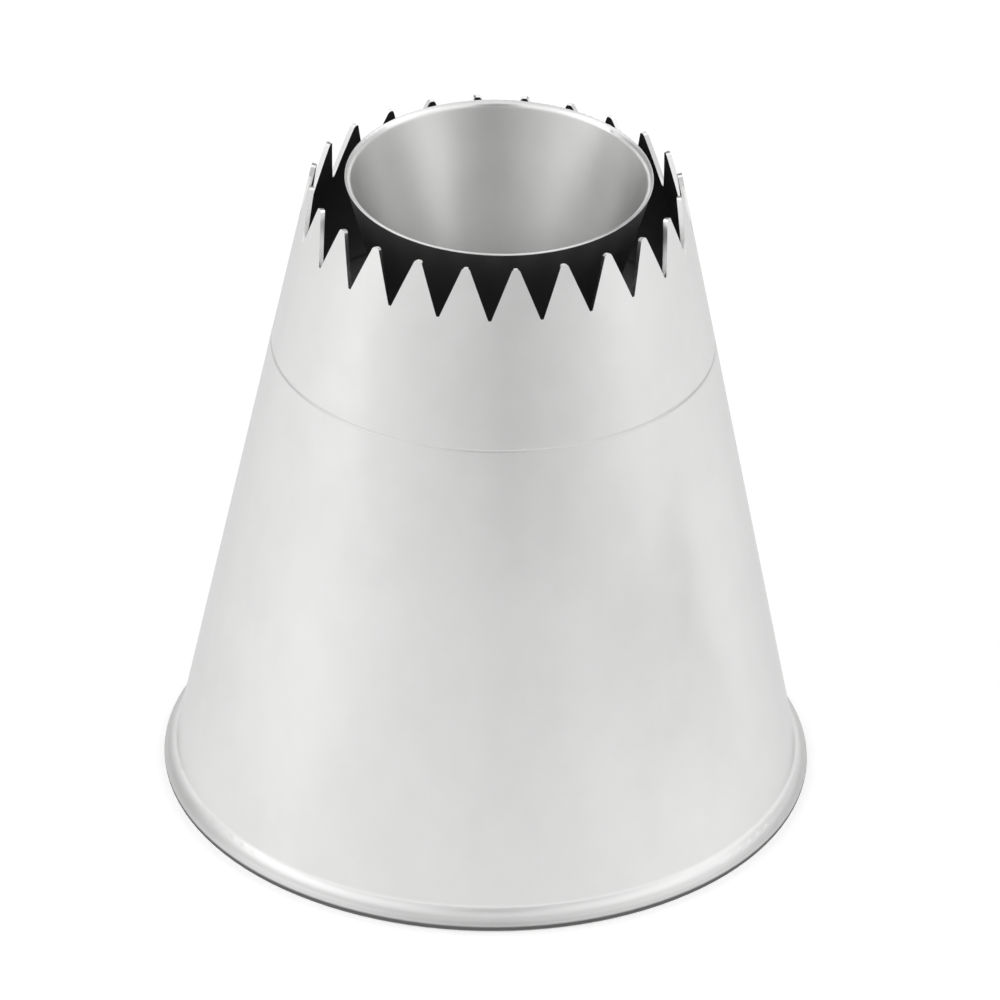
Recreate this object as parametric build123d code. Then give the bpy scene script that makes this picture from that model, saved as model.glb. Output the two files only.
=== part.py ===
from build123d import *
import math
import os

# Ring piping nozzle in stainless sheet: a toothed outer cone with a rolled rim round its wide end,
# and a hollow inner cone with a closed nose, which three strip arms hold inside it.
# It stands on its rolled rim with the mouth up. Millimetres, degrees, +Z along the outer cone's axis
# towards the mouth, origin on that axis in the plane that the rim stands on, front at -Y.

# Outer cone
body_height = 70.0
mouth_radius = 19.25
foot_line_radius = 33.85
sheet = 0.5

# Rolled rim of the outer cone: its bead stands out a little from the line of the wall
bead_radius = 0.8
bead_offset = 0.2
flare_radius = 1.2
land_depth = 0.02
curl_end_angle = -216.0

# Teeth, cut square through the sheet
tooth_count = 24
tooth_depth = 5.42
tip_width = 0.7
valley_width = 0.3
tip_bevel = 0.16
tooth_turn = 6.4

# Fine line scored round the outer cone
score_height = 51.2
score_width = 0.3
score_depth = 0.06

# Inner cone: its lip stands above the tooth tips, and it is welded in a little askew. It leans to
# the front about the middle of its lip, and that middle is off the outer cone's axis along +X.
lip_rise = 0.55
mouth_gap = 2.85
inner_sheet = 0.5
lip_edge_radius = 0.12
lip_ease_radius = 0.8
inner_half_angle = 15.5
nose_radius = 6.0
inner_lean = 2.2
inner_shift = 0.3

# Arms that carry the inner cone, just above where its nose starts
arm_count = 3
arm_sheet = 0.8
arm_width = 6.0
arm_nose_gap = 1.4
outer_foot_length = 6.5
inner_foot_length = 4.2
foot_corner_radius = 1.2
bend_radius = 0.6
weld_gap = 0.02
weld_ball_radius = 1.5
weld_depth = 0.12
weld_spacing = 2.8
weld_place_share = 0.62

# How far a cutting shape runs past what it cuts
overrun = 1.0

# The wall of the outer cone, as directions in the (radius, height) plane
wall_angle = math.degrees(math.atan2(foot_line_radius - mouth_radius, body_height))
wall_up = Vector(-math.sin(math.radians(wall_angle)), math.cos(math.radians(wall_angle)))
wall_out = Vector(math.cos(math.radians(wall_angle)), math.sin(math.radians(wall_angle)))

# The wall of the inner cone, in a plane through its own axis: it narrows downwards
inner_up = Vector(math.sin(math.radians(inner_half_angle)), math.cos(math.radians(inner_half_angle)))
inner_out = Vector(math.cos(math.radians(inner_half_angle)), -math.sin(math.radians(inner_half_angle)))


def on_circle(centre, radius, angle):
    """A point on a circle in the (radius, height) plane."""
    return centre + Vector(math.cos(math.radians(angle)), math.sin(math.radians(angle))) * radius


def circle_arc(centre, radius, start, end):
    """An arc of that circle, under half a turn."""
    middle = on_circle(centre, radius, (start + end) / 2)
    return ThreePointArc(on_circle(centre, radius, start), middle, on_circle(centre, radius, end))


def direction_of(vector):
    return math.degrees(math.atan2(vector.Y, vector.X))


def wall_point(height, depth=0.0):
    """The outer cone's wall at a height, at a depth under its outside measured square to it."""
    radius = foot_line_radius - height * math.tan(math.radians(wall_angle))
    return Vector(radius - depth / math.cos(math.radians(wall_angle)), height)


def spun(outline):
    """A closed outline in the (radius, height) plane, turned round the axis."""
    return revolve(Plane.XZ * make_face(outline), Axis.Z)


# Rolled rim: the wall flares out on one arc and curls down, under and back up inside on another
bead_centre = wall_point(bead_radius - land_depth, -bead_offset)
flare_out = flare_radius - bead_offset
flare_run = math.sqrt((bead_radius + flare_radius) ** 2 - flare_out**2)
flare_centre = bead_centre + wall_up * flare_run + wall_out * flare_out
curl_start_angle = direction_of(flare_centre - bead_centre)
land_half_angle = math.degrees(math.acos((bead_radius - land_depth) / bead_radius))
flare_wall_angle = direction_of(wall_out * -1) % 360
flare_curl_angle = curl_start_angle + 180


def score_points():
    """The little V of the score line, from its upper edge to its lower edge."""
    middle = wall_point(score_height)
    half = wall_up * (score_width / 2)
    return [middle + half, middle - wall_out * score_depth, middle - half]


def outer_shell():
    top = wall_point(body_height)
    inner_curl = bead_radius - sheet
    outside = [
        Polyline(top, *score_points(), flare_centre - wall_out * flare_radius),
        circle_arc(flare_centre, flare_radius, flare_wall_angle, flare_curl_angle),
        circle_arc(bead_centre, bead_radius, curl_start_angle, -90 + land_half_angle),
        Line(
            on_circle(bead_centre, bead_radius, -90 + land_half_angle),
            on_circle(bead_centre, bead_radius, -90 - land_half_angle),
        ),
        circle_arc(bead_centre, bead_radius, -90 - land_half_angle, curl_end_angle),
    ]
    inside = [
        Line(
            on_circle(bead_centre, bead_radius, curl_end_angle),
            on_circle(bead_centre, inner_curl, curl_end_angle),
        ),
        circle_arc(bead_centre, inner_curl, curl_end_angle, -90),
        circle_arc(bead_centre, inner_curl, -90, curl_start_angle),
        circle_arc(flare_centre, flare_radius + sheet, flare_curl_angle, flare_wall_angle),
        Polyline(flare_centre - wall_out * (flare_radius + sheet), top - wall_out * sheet, top),
    ]
    return spun(outside + inside)


def tooth_gaps():
    """The V-shaped pieces that are cut out between the teeth."""
    pitch = 2 * mouth_radius * math.sin(math.pi / tooth_count)
    top_half = (pitch - tip_width) / 2
    side_slope = (top_half - valley_width / 2) / tooth_depth
    bevel_half = top_half - tip_bevel * side_slope
    far_half = top_half + overrun
    half_outline = [
        (valley_width / 2, -tooth_depth),
        (bevel_half, -tip_bevel),
        (far_half, overrun),
    ]
    outline = half_outline + [(-x, y) for x, y in reversed(half_outline)]
    wall_plane = Plane(
        origin=(0, -mouth_radius, body_height),
        x_dir=(1, 0, 0),
        z_dir=(0, -wall_out.X, wall_out.Y),
    )
    gap = extrude(wall_plane * make_face(Polyline(*outline, close=True)), amount=sheet + overrun, both=True)
    pitch_angle = 360 / tooth_count
    first = tooth_turn + pitch_angle / 2
    return [Rot(0, 0, first + pitch_angle * index) * gap for index in range(tooth_count)]


def outer_cone():
    return outer_shell() - tooth_gaps()


# Inner cone, upright on its own axis. A small arc breaks the outer edge of its lip, and a large one
# eases the inner edge. Its closed end is a round nose.
lip_height = body_height + lip_rise
lip_radius = wall_point(body_height, sheet).X - mouth_gap
edge_centre = Vector(lip_radius - lip_edge_radius, lip_height - lip_edge_radius)
ease_across = lip_ease_radius - inner_sheet + lip_edge_radius
ease_along = math.sqrt((lip_ease_radius - lip_edge_radius) ** 2 - ease_across**2)
ease_centre = edge_centre + inner_out * ease_across - inner_up * ease_along
lip_turn_angle = direction_of(edge_centre - ease_centre)
nose_drop = (edge_centre.dot(inner_out) + lip_edge_radius - nose_radius) / inner_out.Y
nose_centre = Vector(0, nose_drop)
nose_start = nose_centre + inner_out * nose_radius


def inner_cone():
    hollow_radius = nose_radius - inner_sheet
    wall_direction = direction_of(inner_out)
    outline = [
        circle_arc(nose_centre, nose_radius, -90, wall_direction),
        Line(nose_start, edge_centre + inner_out * lip_edge_radius),
        circle_arc(edge_centre, lip_edge_radius, wall_direction, lip_turn_angle),
        circle_arc(ease_centre, lip_ease_radius, lip_turn_angle, wall_direction + 180),
        Line(ease_centre - inner_out * lip_ease_radius, nose_centre + inner_out * hollow_radius),
        circle_arc(nose_centre, hollow_radius, wall_direction, -90),
        Line(on_circle(nose_centre, hollow_radius, -90), on_circle(nose_centre, nose_radius, -90)),
    ]
    upright = Pos(0, 0, -lip_height) * spun(outline)
    return Pos(inner_shift, 0, lip_height) * Rot(inner_lean, 0, 0) * upright


# Arms: each is one strip on edge along +X, bent at both ends into a foot that lies on a cone.
# A ring is the centre and radius of a level cut through a cone, seen from above.
arm_bottom = nose_start.Y + arm_nose_gap
arm_top = arm_bottom + arm_width
arm_middle = (arm_bottom + arm_top) / 2
outer_bend_radius = bend_radius + arm_sheet


def outer_ring(height, depth=0.0):
    """The outer foot's face on the outer cone, or a face that far under it."""
    return Vector(0, 0), wall_point(height, sheet + weld_gap + depth).X


def inner_ring(height, turn, gap=0.0):
    """The inner foot's face on the leaning inner cone, or a face that far outside it, for an arm
    that is turned round the nozzle's axis by an angle."""
    wall = edge_centre + inner_out * (lip_edge_radius + weld_gap + gap) - Vector(0, lip_height)
    reaches = []
    for side in (1, -1):
        top = Vector(side * wall.X, wall.Y).rotate(Axis.Z, inner_lean)
        slope = math.tan(math.radians(inner_half_angle - side * inner_lean))
        reaches.append(top.X + side * (height - lip_height - top.Y) * slope)
    centre = Vector(inner_shift, sum(reaches) / 2)
    return centre.rotate(Axis.Z, -turn), (reaches[0] - reaches[1]) / 2


def bend_centre(ring, corner_radius, side):
    """Where a bend turns from the web onto a ring, which it touches from inside (1) or outside (-1)."""
    centre, radius = ring
    height = side * (bend_radius + arm_sheet / 2)
    reach = radius - side * corner_radius
    return Vector(centre.X + math.sqrt(reach**2 - (height - centre.Y) ** 2), height)


def ring_direction(ring, point):
    return direction_of(point - ring[0])


def foot_end(ring, length):
    """The direction from a ring's centre to the end of a foot, a length along the ring from the web."""
    centre, radius = ring
    return math.degrees(math.asin(-centre.Y / radius) + length / radius)


def foot_ends(turn):
    """That direction for the outer foot and for the inner foot, which turns the other way."""
    outer_end = foot_end(outer_ring(arm_middle), outer_foot_length)
    inner_end = foot_end(inner_ring(arm_middle, turn), -inner_foot_length)
    return outer_end, inner_end


def arm_section(height, turn):
    """The bent strip as a level cut through it shows it, in (x, y)."""
    half = arm_sheet / 2
    outer_end, inner_end = foot_ends(turn)
    outer_back, outer_free = outer_ring(height), outer_ring(height, arm_sheet)
    inner_back, inner_free = inner_ring(height, turn), inner_ring(height, turn, arm_sheet)
    far_out = bend_centre(outer_back, outer_bend_radius, 1)
    far_in = bend_centre(outer_free, bend_radius, 1)
    near_out = bend_centre(inner_back, outer_bend_radius, -1)
    near_in = bend_centre(inner_free, bend_radius, -1)
    outline = [
        Line((near_in.X, -half), (far_out.X, -half)),
        circle_arc(far_out, outer_bend_radius, -90, ring_direction(outer_back, far_out)),
        circle_arc(*outer_back, ring_direction(outer_back, far_out), outer_end),
        Line(on_circle(*outer_back, outer_end), on_circle(*outer_free, outer_end)),
        circle_arc(*outer_free, outer_end, ring_direction(outer_free, far_in)),
        circle_arc(far_in, bend_radius, ring_direction(outer_free, far_in), -90),
        Line((far_in.X, half), (near_out.X, half)),
        circle_arc(near_out, outer_bend_radius, 90, 180 + ring_direction(inner_back, near_out)),
        circle_arc(*inner_back, ring_direction(inner_back, near_out), inner_end),
        Line(on_circle(*inner_back, inner_end), on_circle(*inner_free, inner_end)),
        circle_arc(*inner_free, inner_end, ring_direction(inner_free, near_in)),
        circle_arc(near_in, bend_radius, 180 + ring_direction(inner_free, near_in), 90),
    ]
    return Pos(0, 0, height) * make_face(outline)


def foot_corners(strip, turn):
    """The four short edges at the free ends of the feet."""
    outer_end, inner_end = foot_ends(turn)
    corners = []
    for height in (arm_bottom, arm_top):
        for place in (
            on_circle(*outer_ring(height, arm_sheet / 2), outer_end),
            on_circle(*inner_ring(height, turn, arm_sheet / 2), inner_end),
        ):
            corners += strip.edges().sort_by_distance((place.X, place.Y, height))[:1]
    return corners


def weld_balls(ring, face_out, direction):
    """The balls that press two spot-weld dimples into the free face of a foot."""
    centre, radius = ring
    balls = []
    for step in (-weld_spacing / 2, weld_spacing / 2):
        along = Vector(-face_out.Y, face_out.X) * step
        place = Vector(radius, arm_middle) + along + face_out * (weld_ball_radius - weld_depth)
        ball = Pos(place.X, 0, place.Y) * Sphere(weld_ball_radius)
        balls.append(Pos(centre.X, centre.Y, 0) * Rot(0, 0, direction) * ball)
    return balls


def support_arm(turn):
    strip = loft([arm_section(arm_bottom, turn), arm_section(arm_top, turn)], ruled=True)
    strip = fillet(foot_corners(strip, turn), foot_corner_radius)
    outer_weld = foot_end(outer_ring(arm_middle), outer_foot_length * weld_place_share)
    inner_weld = foot_end(inner_ring(arm_middle, turn), -inner_foot_length * weld_place_share)
    strip -= weld_balls(outer_ring(arm_middle, arm_sheet), wall_out * -1, outer_weld)
    strip -= weld_balls(inner_ring(arm_middle, turn, arm_sheet), inner_out, inner_weld)
    return Rot(0, 0, turn) * strip


os.makedirs("parts", exist_ok=True)
export_step(outer_cone(), "parts/outer_cone.step")
export_step(inner_cone(), "parts/inner_cone.step")
for index in range(arm_count):
    export_step(support_arm(360 / arm_count * index), f"parts/support_arm_{index + 1}.step")
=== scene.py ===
import math

import bpy
from mathutils import Euler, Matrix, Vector


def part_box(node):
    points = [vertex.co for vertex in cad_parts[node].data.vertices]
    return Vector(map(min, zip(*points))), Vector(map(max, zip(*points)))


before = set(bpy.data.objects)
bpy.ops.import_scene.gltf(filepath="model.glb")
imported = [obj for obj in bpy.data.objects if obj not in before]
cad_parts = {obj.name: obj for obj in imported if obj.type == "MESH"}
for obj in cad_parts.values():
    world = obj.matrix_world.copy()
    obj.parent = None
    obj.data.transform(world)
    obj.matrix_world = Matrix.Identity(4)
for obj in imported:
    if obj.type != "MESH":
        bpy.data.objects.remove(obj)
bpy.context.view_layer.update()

# Looks of the ring piping nozzle: satin stainless steel, standing on a white table in a light tent.
# Metres and degrees; the outer cone's axis is Z and the nozzle's front is at -Y, as in the frame.
# A name that ends in _blend holds the two values between which one look changes to another.

# Camera: the photograph's view, 0.7 m from the middle of the nozzle and 30.5 degrees above it
camera_distance = 0.7
camera_elevation = 30.47
camera_roll = 1.05
camera_target = Vector((0, 0, 0.035))
camera_lens = 239.0
camera_sensor = 36.0
camera_shift = (0.0092, -0.0265)
camera_clip = (0.05, 20.0)

# Table: what it gives is part light of its own and part light from the tent, 1 in all. Near the
# nozzle nearly all is from the tent, so the shadow under the rim is dark and tight.
table_size = 6.0
foot_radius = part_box("outer_cone")[1][0]
shadow_reach = (0.001, 0.009)
tent_shares = (0.95, 0.35)
tent_light = 0.68

# Curved boards of the tent: name, distance from the axis, heights of their lower and upper edges,
# and greys for directions, 0 in front and 90 at the right, which blend from each to the next
board_steps = 6
boards = (
    ("front_low", 0.45, (0.0, 0.15), (
        (-65, 0.95), (-45, 0.82), (-25, 0.66), (-8, 0.6), (8, 0.46), (32, 0.44), (48, 0.68), (65, 0.95),
    )),
    ("front_high", 0.45, (0.17, 0.5), ((-14, 0.5), (-6, 0.12), (12, 0.12), (20, 0.5))),
    ("back", 0.6, (0.2, 0.54), (
        (95, 0.8), (120, 0.6), (150, 0.44), (170, 0.36), (200, 0.3), (242, 0.28), (252, 0.5), (262, 0.95),
    )),
    ("right_low", 0.5, (0.0, 0.18), ((92, 0.95), (102, 0.7), (130, 0.7), (140, 0.95))),
    ("left_low", 0.5, (0.0, 0.18), ((222, 0.95), (232, 0.75), (256, 0.75), (265, 0.95))),
)

# Level cards: name, reach in X and in Y, height and grey
cards = (
    ("ceiling", (-0.55, 0.55), (-0.55, 0.4), 1.0, 0.7),
    ("card_front_right", (0.08, 0.17), (-0.1, 0.0), 0.0005, 0.93),
)

# Round soft boxes: name, direction, elevation, distance, size, and the radiance that each adds to
# the tent behind it
soft_boxes = (
    ("soft_box_left", -74, 27, 0.8, 0.64, 0.45),
    ("soft_box_right", 92, 42, 0.8, 0.7, 0.25),
)

# Steel's colours. Roughness stays over 0.28 on all large faces, because the denoiser draws contour
# lines where it crosses 0.27.
outer_colour = (0.765, 0.765, 0.76)
inner_colour = (0.81, 0.81, 0.805)
arm_colour = (0.66, 0.66, 0.655)
# Painted shade colours, which all painted shade turns to: the first on the cones and the second on the
# arms
painted_shade_colour = (0.08, 0.08, 0.08)
arm_shade_colour = (0.3, 0.3, 0.3)
# Painted highlight colour, used on the flare, the cut edges and the lip
painted_highlight_colour = (0.95, 0.95, 0.945)
outer_edge_tint = 0.8
plain_edge_tint = 1.0
satin_roughness = 0.282
mill_roughness = 0.38
anisotropy = 0.5
quarter_turn = 0.25

# Cloudy patches of 10 to 20 mm, smudges of 3 to 6 mm and fine marks round the cone. Each noise has
# its cells per metre along each axis, its detail and its roughness.
patch_noise = ((70, 70, 50), 3.0, 0.6)
smudge_noise = ((260, 260, 200), 4.0, 0.65)
mark_noise = ((20, 20, 1800), 1.0, 0.5)
patch_share = 0.7
smudge_share = 0.3
cloud_blend = (0.3, 0.7)
cloud_light = (0.96, 1.03)
cloud_roughness = 0.05
mark_strength = 0.15
mark_depth = 0.00001

# The shaded side of a sheet, which gets painted shade and more roughness near the mouth, by how squarely
# it faces that side, as a cosine, and by its height
side_blend = (0.3, 0.7)
shade_height_blend = (0.030, 0.055)
dull_roughness = 0.3

# Outer cone, from the table up: a dark line of painted shade under the bead, painted shade on the bead, a
# painted highlight on the flare, a little painted shade in the scored line, and the teeth, whose cut edges
# get a painted highlight
foot_shade_start_blend = (0.0002, 0.00045)
foot_shade_end_blend = (0.00075, 0.0011)
foot_shade_strength = 0.85
bead_shade_end_blend = (0.0012, 0.0017)
bead_shade_strength = 0.1
flare_highlight_start_blend = (0.0012, 0.0018)
flare_highlight_end_blend = (0.0022, 0.0028)
flare_highlight_strength = 0.85
flare_rough_blend = (0.0018, 0.0025)
flare_roughness = 0.19
score_height = 0.0512
score_blend = (0.00015, 0.0003)
score_shade = 0.02
score_roughness = 0.2
teeth_blend = (0.0636, 0.0638)  # just below the tooth valleys
cut_blend = (0.45, 0.8)  # how squarely a face looks in or out, as a cosine
cut_smoothness = 0.16

# Inner cone: painted shade and more roughness deep inside, and a painted highlight at its lip, which leans
# to the front. Its painted highlight bands end at depths under the plane of the lip.
deep_shade_blend = (0.048, 0.060)
deep_shade_strength = 0.35
lip_highlight_outside_blend = (0.00008, 0.0002)
lip_highlight_inside_blend = (0.0004, 0.0008)
lip_lean = 2.2
lip_slope = math.tan(math.radians(lip_lean))
lip_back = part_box("inner_cone")[1]
lip_middle = lip_back[2] - lip_slope * lip_back[1]

# A Mix node's colour sockets, which share their names with its other sockets
mix_first, mix_second, mix_result = 6, 7, 2


def new_material(name):
    """A material with an empty node tree and its output."""
    material = bpy.data.materials.new(name)
    material.use_nodes = True
    tree = material.node_tree
    tree.nodes.clear()
    output = tree.nodes.new("ShaderNodeOutputMaterial")
    return material, tree, output


def matt_material(name):
    """A matt material, its node tree and its colour socket."""
    material, tree, output = new_material(name)
    diffuse = tree.nodes.new("ShaderNodeBsdfDiffuse")
    tree.links.new(diffuse.outputs[0], output.inputs[0])
    return material, tree, diffuse.inputs["Color"]


def math_node(tree, operation, first, second=None):
    """A math node whose inputs are sockets or numbers."""
    node = tree.nodes.new("ShaderNodeMath")
    node.operation = operation
    for socket, value in zip(node.inputs, (first, second)):
        if isinstance(value, bpy.types.NodeSocket):
            tree.links.new(value, socket)
        elif value is not None:
            socket.default_value = value
    return node.outputs[0]


def vector_node(tree, operation, first):
    """A vector math node with its first input linked."""
    node = tree.nodes.new("ShaderNodeVectorMath")
    node.operation = operation
    tree.links.new(first, node.inputs[0])
    return node


def blend(tree, value, span, ends=(0.0, 1.0)):
    """A smooth step of a value, from the first of two ends to the second across a span."""
    node = tree.nodes.new("ShaderNodeMapRange")
    node.interpolation_type = "SMOOTHSTEP"
    tree.links.new(value, node.inputs["Value"])
    node.inputs["From Min"].default_value, node.inputs["From Max"].default_value = span
    node.inputs["To Min"].default_value, node.inputs["To Max"].default_value = ends
    return node.outputs["Result"]


def band(tree, value, start, end, strength):
    """A value's band of that strength, with a soft start and a soft end."""
    started = blend(tree, value, start, (0.0, strength))
    return math_node(tree, "MULTIPLY", started, blend(tree, value, end, (1.0, 0.0)))


def mixed(tree, share, first, colour):
    """A colour socket that turns to a plain colour by a share."""
    node = tree.nodes.new("ShaderNodeMix")
    node.data_type = "RGBA"
    tree.links.new(share, node.inputs["Factor"])
    tree.links.new(first, node.inputs[mix_first])
    node.inputs[mix_second].default_value = (*colour, 1)
    return node.outputs[mix_result]


def flattened(tree, vector):
    """The level part of a vector."""
    node = vector_node(tree, "MULTIPLY", vector)
    node.inputs[1].default_value = (1, 1, 0)
    return node.outputs[0]


def noise(tree, place, scales, detail, roughness):
    """Noise on the object's own place."""
    mapping = tree.nodes.new("ShaderNodeMapping")
    mapping.inputs["Scale"].default_value = scales
    tree.links.new(place, mapping.inputs["Vector"])
    node = tree.nodes.new("ShaderNodeTexNoise")
    node.inputs["Scale"].default_value = 1.0
    node.inputs["Detail"].default_value = detail
    node.inputs["Roughness"].default_value = roughness
    tree.links.new(mapping.outputs[0], node.inputs["Vector"])
    return node.outputs["Fac"]


def direction_vector(direction, elevation):
    """The way to a direction, 0 in front and 90 at the right, and an elevation."""
    turn, lift = math.radians(direction), math.radians(elevation)
    return Vector((math.sin(turn) * math.cos(lift), -math.cos(turn) * math.cos(lift), math.sin(lift)))


def make_camera():
    data = bpy.data.cameras.new("camera")
    data.lens = camera_lens
    data.sensor_width = camera_sensor
    data.shift_x, data.shift_y = camera_shift
    data.clip_start, data.clip_end = camera_clip
    camera = bpy.data.objects.new("camera", data)
    bpy.context.scene.collection.objects.link(camera)
    back = direction_vector(0, camera_elevation)
    camera.location = camera_target + back * camera_distance
    facing = (-back).to_track_quat("-Z", "Y").to_matrix()
    roll = Euler((0, 0, math.radians(camera_roll))).to_matrix()
    camera.rotation_euler = (facing @ roll).to_euler()
    bpy.context.scene.camera = camera


def make_world():
    world = bpy.data.worlds.new("tent")
    bpy.context.scene.world = world
    world.use_nodes = True
    background = world.node_tree.nodes["Background"]
    background.inputs["Color"].default_value = (1, 1, 1, 1)
    background.inputs["Strength"].default_value = 1.0


def stage_mesh(name, points, faces, material):
    """A piece of the studio."""
    mesh = bpy.data.meshes.new(name)
    mesh.from_pydata(points, [], faces)
    mesh.materials.append(material)
    piece = bpy.data.objects.new(name, mesh)
    bpy.context.scene.collection.objects.link(piece)
    return piece


def stage_rectangle(name, across, along, height, material):
    """A level rectangle of the studio, by its reach in X and in Y."""
    (left, right), (front, back) = across, along
    corners = ((left, front), (right, front), (right, back), (left, back))
    return stage_mesh(name, [(x, y, height) for x, y in corners], [(0, 1, 2, 3)], material)


def make_table():
    material, tree, output = new_material("table_white")
    place = tree.nodes.new("ShaderNodeTexCoord").outputs["Object"]
    radius = vector_node(tree, "LENGTH", flattened(tree, place)).outputs["Value"]
    share = blend(tree, radius, [foot_radius + reach for reach in shadow_reach], tent_shares)
    diffuse = tree.nodes.new("ShaderNodeBsdfDiffuse")
    tree.links.new(share, diffuse.inputs["Color"])
    glow = tree.nodes.new("ShaderNodeEmission")
    from_tent = math_node(tree, "MULTIPLY", share, tent_light)
    tree.links.new(math_node(tree, "SUBTRACT", 1.0, from_tent), glow.inputs["Strength"])
    total = tree.nodes.new("ShaderNodeAddShader")
    tree.links.new(diffuse.outputs[0], total.inputs[0])
    tree.links.new(glow.outputs[0], total.inputs[1])
    tree.links.new(total.outputs[0], output.inputs[0])
    reach = (-table_size / 2, table_size / 2)
    stage_rectangle("table", reach, reach, 0, material)


def make_board(name, distance, edges, shades):
    """A curved board round the nozzle, unseen by the camera."""
    material, tree, colour = matt_material(name)
    shade = tree.nodes.new("ShaderNodeAttribute")
    shade.attribute_name = "shade"
    tree.links.new(shade.outputs["Color"], colour)
    columns = [shades[0]]
    for (start, first), (end, last) in zip(shades[:-1], shades[1:]):
        for step in range(1, board_steps + 1):
            part = step / board_steps
            columns.append((start + (end - start) * part, first + (last - first) * part))
    points, greys, faces = [], [], []
    for direction, grey in columns:
        turn = math.radians(direction)
        for height in edges:
            points.append((math.sin(turn) * distance, -math.cos(turn) * distance, height))
            greys.append(grey)
    for index in range(0, len(points) - 2, 2):
        faces.append((index, index + 2, index + 3, index + 1))
    board = stage_mesh(name, points, faces, material)
    colours = board.data.color_attributes.new("shade", "FLOAT_COLOR", "POINT")
    for index, grey in enumerate(greys):
        colours.data[index].color = (grey, grey, grey, 1)
    board.visible_camera = False


def make_card(name, across, along, height, grey):
    """A level card, unseen by the camera."""
    material, _, colour = matt_material(name)
    colour.default_value = (grey, grey, grey, 1)
    card = stage_rectangle(name, across, along, height, material)
    card.visible_camera = False


def make_soft_box(name, direction, elevation, distance, size, radiance):
    """A round soft box aimed at the nozzle."""
    data = bpy.data.lights.new(name, "AREA")
    data.shape = "DISK"
    data.size = size
    data.energy = radiance * math.pi * math.pi * (size / 2) ** 2
    lamp = bpy.data.objects.new(name, data)
    bpy.context.scene.collection.objects.link(lamp)
    away = direction_vector(direction, elevation)
    lamp.location = camera_target + away * distance
    lamp.rotation_euler = (-away).to_track_quat("-Z", "Y").to_euler()


def outer_marks_and_painted_light(tree, sheet):
    """The outer cone's marks and painted light: the share of painted shade and dullness with them, the
    painted highlight share, and what they add to the roughness. They are worked out from the sheet's
    sockets."""
    height, shade_and_dullness = sheet["height"], sheet["shade_and_dullness"]
    from_score = math_node(tree, "ABSOLUTE", math_node(tree, "SUBTRACT", height, score_height))
    # The scored groove: a little painted shade and more roughness
    groove = blend(tree, from_score, score_blend, (1.0, 0.0))
    # Painted shade: a dark line on the underside of the bead, where it meets the table
    foot_shade = band(tree, height, foot_shade_start_blend, foot_shade_end_blend, foot_shade_strength)
    # Painted shade: the bead darker than the wall above it, with more roughness
    bead_shade = blend(tree, height, bead_shade_end_blend, (bead_shade_strength, 0.0))
    for share in (foot_shade, bead_shade, math_node(tree, "MULTIPLY", groove, score_shade)):
        shade_and_dullness = math_node(tree, "MAXIMUM", shade_and_dullness, share)

    # Cut edges of the teeth: a painted highlight and less roughness
    edge = blend(tree, math_node(tree, "ABSOLUTE", sheet["facing"]), cut_blend, (1.0, 0.0))
    cut = math_node(tree, "MULTIPLY", edge, blend(tree, height, teeth_blend))
    # Painted highlight on the flare above the bead
    flare_highlight = band(tree, height, flare_highlight_start_blend, flare_highlight_end_blend, flare_highlight_strength)
    more_roughness = (
        math_node(tree, "MULTIPLY", cut, -cut_smoothness),
        math_node(tree, "MULTIPLY", groove, score_roughness),
        blend(tree, height, flare_rough_blend, (flare_roughness, 0.0)),
    )
    return shade_and_dullness, math_node(tree, "MAXIMUM", cut, flare_highlight), more_roughness


def inner_painted_light(tree, sheet):
    """The inner cone's painted light, painted shade deep inside and painted highlights at the lip, given
    in the same way.
    """
    height, shade_and_dullness = sheet["height"], sheet["shade_and_dullness"]
    # Painted shade deep inside the inner cone, with more roughness
    deep_shade = blend(tree, height, deep_shade_blend, (deep_shade_strength, 0.0))
    # Painted highlight on the lip, outside and a little way down inside
    lip_plane = math_node(tree, "ADD", math_node(tree, "MULTIPLY", sheet["y"], lip_slope), lip_middle)
    under_lip = math_node(tree, "SUBTRACT", lip_plane, height)
    not_outside = math_node(tree, "SUBTRACT", 1.0, sheet["side"])
    inside_highlight = math_node(tree, "MULTIPLY", blend(tree, under_lip, lip_highlight_inside_blend, (1.0, 0.0)), not_outside)
    outside_highlight = blend(tree, under_lip, lip_highlight_outside_blend, (1.0, 0.0))
    return math_node(tree, "MAXIMUM", shade_and_dullness, deep_shade), math_node(tree, "MAXIMUM", inside_highlight, outside_highlight), ()


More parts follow.
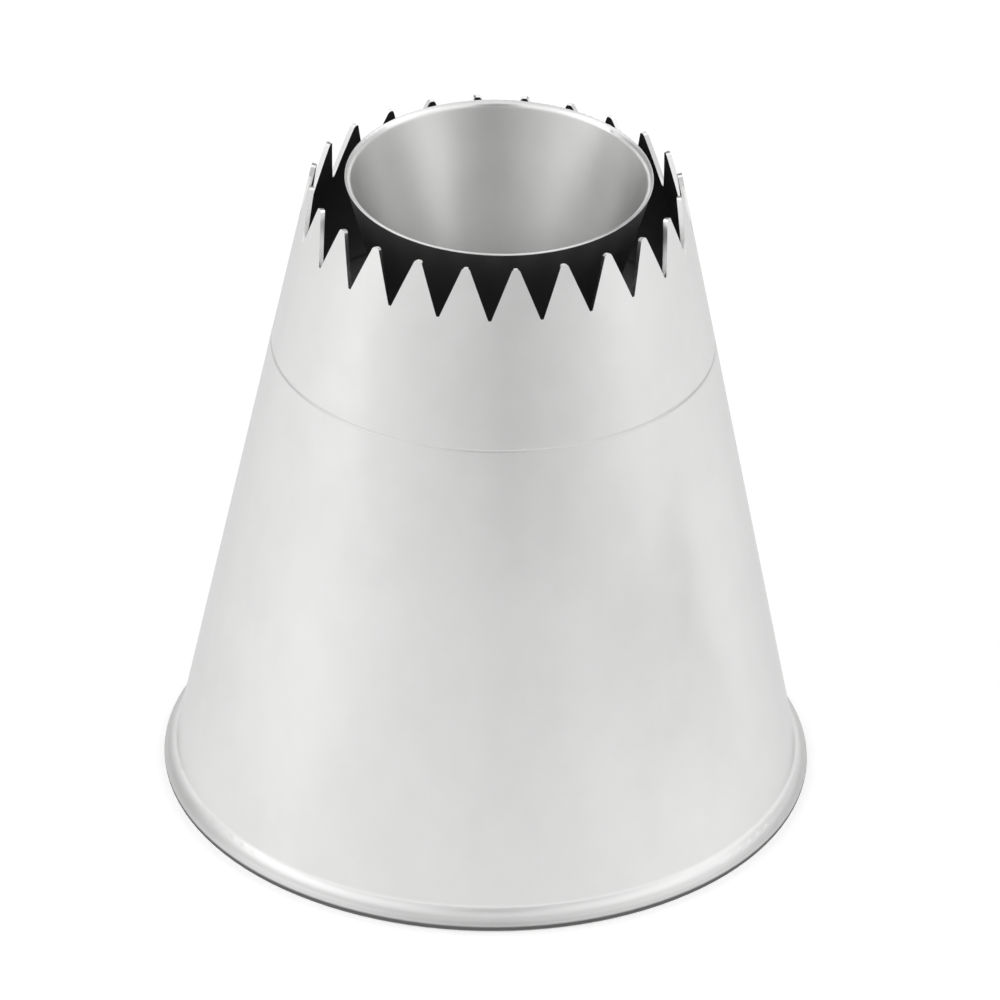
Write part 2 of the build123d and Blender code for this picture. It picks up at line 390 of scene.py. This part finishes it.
def steel(name, colour, edge_tint, roughness, shaded_side, shade_colour, add_marks_and_light=None):
    """Satin steel. One side of the sheet, facing the axis (-1) or away from it (1), is rougher near the
    mouth and carries painted shade there. A function can add the marks and painted light of one piece."""
    material, tree, output = new_material(name)
    shader = tree.nodes.new("ShaderNodeBsdfPrincipled")
    shader.inputs["Metallic"].default_value = 1.0
    shader.inputs["Specular Tint"].default_value = (edge_tint, edge_tint, edge_tint, 1)
    shader.inputs["Anisotropic"].default_value = anisotropy
    shader.inputs["Anisotropic Rotation"].default_value = quarter_turn
    tree.links.new(shader.outputs[0], output.inputs[0])

    tangent = tree.nodes.new("ShaderNodeTangent")
    tangent.direction_type = "RADIAL"
    tangent.axis = "Z"
    tree.links.new(tangent.outputs[0], shader.inputs["Tangent"])

    coordinates = tree.nodes.new("ShaderNodeTexCoord")
    own_place = coordinates.outputs["Object"]
    apart = tree.nodes.new("ShaderNodeSeparateXYZ")
    tree.links.new(own_place, apart.inputs[0])
    y, height = apart.outputs["Y"], apart.outputs["Z"]

    # Clouds
    patches = math_node(tree, "MULTIPLY", noise(tree, own_place, *patch_noise), patch_share)
    smudges = math_node(tree, "MULTIPLY", noise(tree, own_place, *smudge_noise), smudge_share)
    clouds = math_node(tree, "ADD", patches, smudges)

    # Fine marks
    bump = tree.nodes.new("ShaderNodeBump")
    bump.inputs["Strength"].default_value = mark_strength
    bump.inputs["Distance"].default_value = mark_depth
    tree.links.new(noise(tree, own_place, *mark_noise), bump.inputs["Height"])
    tree.links.new(bump.outputs[0], shader.inputs["Normal"])

    # The shaded side, with painted shade and more roughness, and the piece's own marks and painted light
    outward = vector_node(tree, "NORMALIZE", flattened(tree, own_place))
    turned_out = vector_node(tree, "DOT_PRODUCT", outward.outputs[0])
    tree.links.new(coordinates.outputs["Normal"], turned_out.inputs[1])
    facing = turned_out.outputs["Value"]
    side = blend(tree, math_node(tree, "MULTIPLY", facing, shaded_side), side_blend)
    shade_and_dullness = math_node(tree, "MULTIPLY", side, blend(tree, height, shade_height_blend))
    painted_highlight, more_roughness = None, ()
    if add_marks_and_light:
        sheet = {"y": y, "height": height, "facing": facing, "side": side, "shade_and_dullness": shade_and_dullness}
        shade_and_dullness, painted_highlight, more_roughness = add_marks_and_light(tree, sheet)

    # Colour
    clouded = tree.nodes.new("ShaderNodeVectorMath")
    clouded.operation = "SCALE"
    clouded.inputs[0].default_value = colour
    tree.links.new(blend(tree, clouds, cloud_blend, cloud_light), clouded.inputs["Scale"])
    # Painted shade: the clouded colour turns dark by the shade share
    coloured = mixed(tree, shade_and_dullness, clouded.outputs[0], shade_colour)
    # Painted highlight: the colour turns bright by the highlight share
    if painted_highlight is not None:
        coloured = mixed(tree, painted_highlight, coloured, painted_highlight_colour)
    tree.links.new(coloured, shader.inputs["Base Color"])

    # Roughness
    rough = blend(tree, clouds, cloud_blend, (roughness, roughness + cloud_roughness))
    for more in (math_node(tree, "MULTIPLY", shade_and_dullness, dull_roughness), *more_roughness):
        rough = math_node(tree, "ADD", rough, more)
    tree.links.new(rough, shader.inputs["Roughness"])
    return material


make_camera()
make_world()
make_table()
for board in boards:
    make_board(*board)
for card in cards:
    make_card(*card)
for soft_box in soft_boxes:
    make_soft_box(*soft_box)

outer_steel = steel(
    "outer_steel", outer_colour, outer_edge_tint, satin_roughness, -1, painted_shade_colour, outer_marks_and_painted_light
)
inner_steel = steel(
    "inner_steel", inner_colour, plain_edge_tint, satin_roughness, 1, painted_shade_colour, inner_painted_light
)
arm_steel = steel("arm_steel", arm_colour, plain_edge_tint, mill_roughness, 1, arm_shade_colour)
for name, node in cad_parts.items():
    material = {"outer_cone": outer_steel, "inner_cone": inner_steel}.get(name, arm_steel)
    node.material_slots[0].material = material

bpy.context.scene.view_settings.view_transform = "Standard"
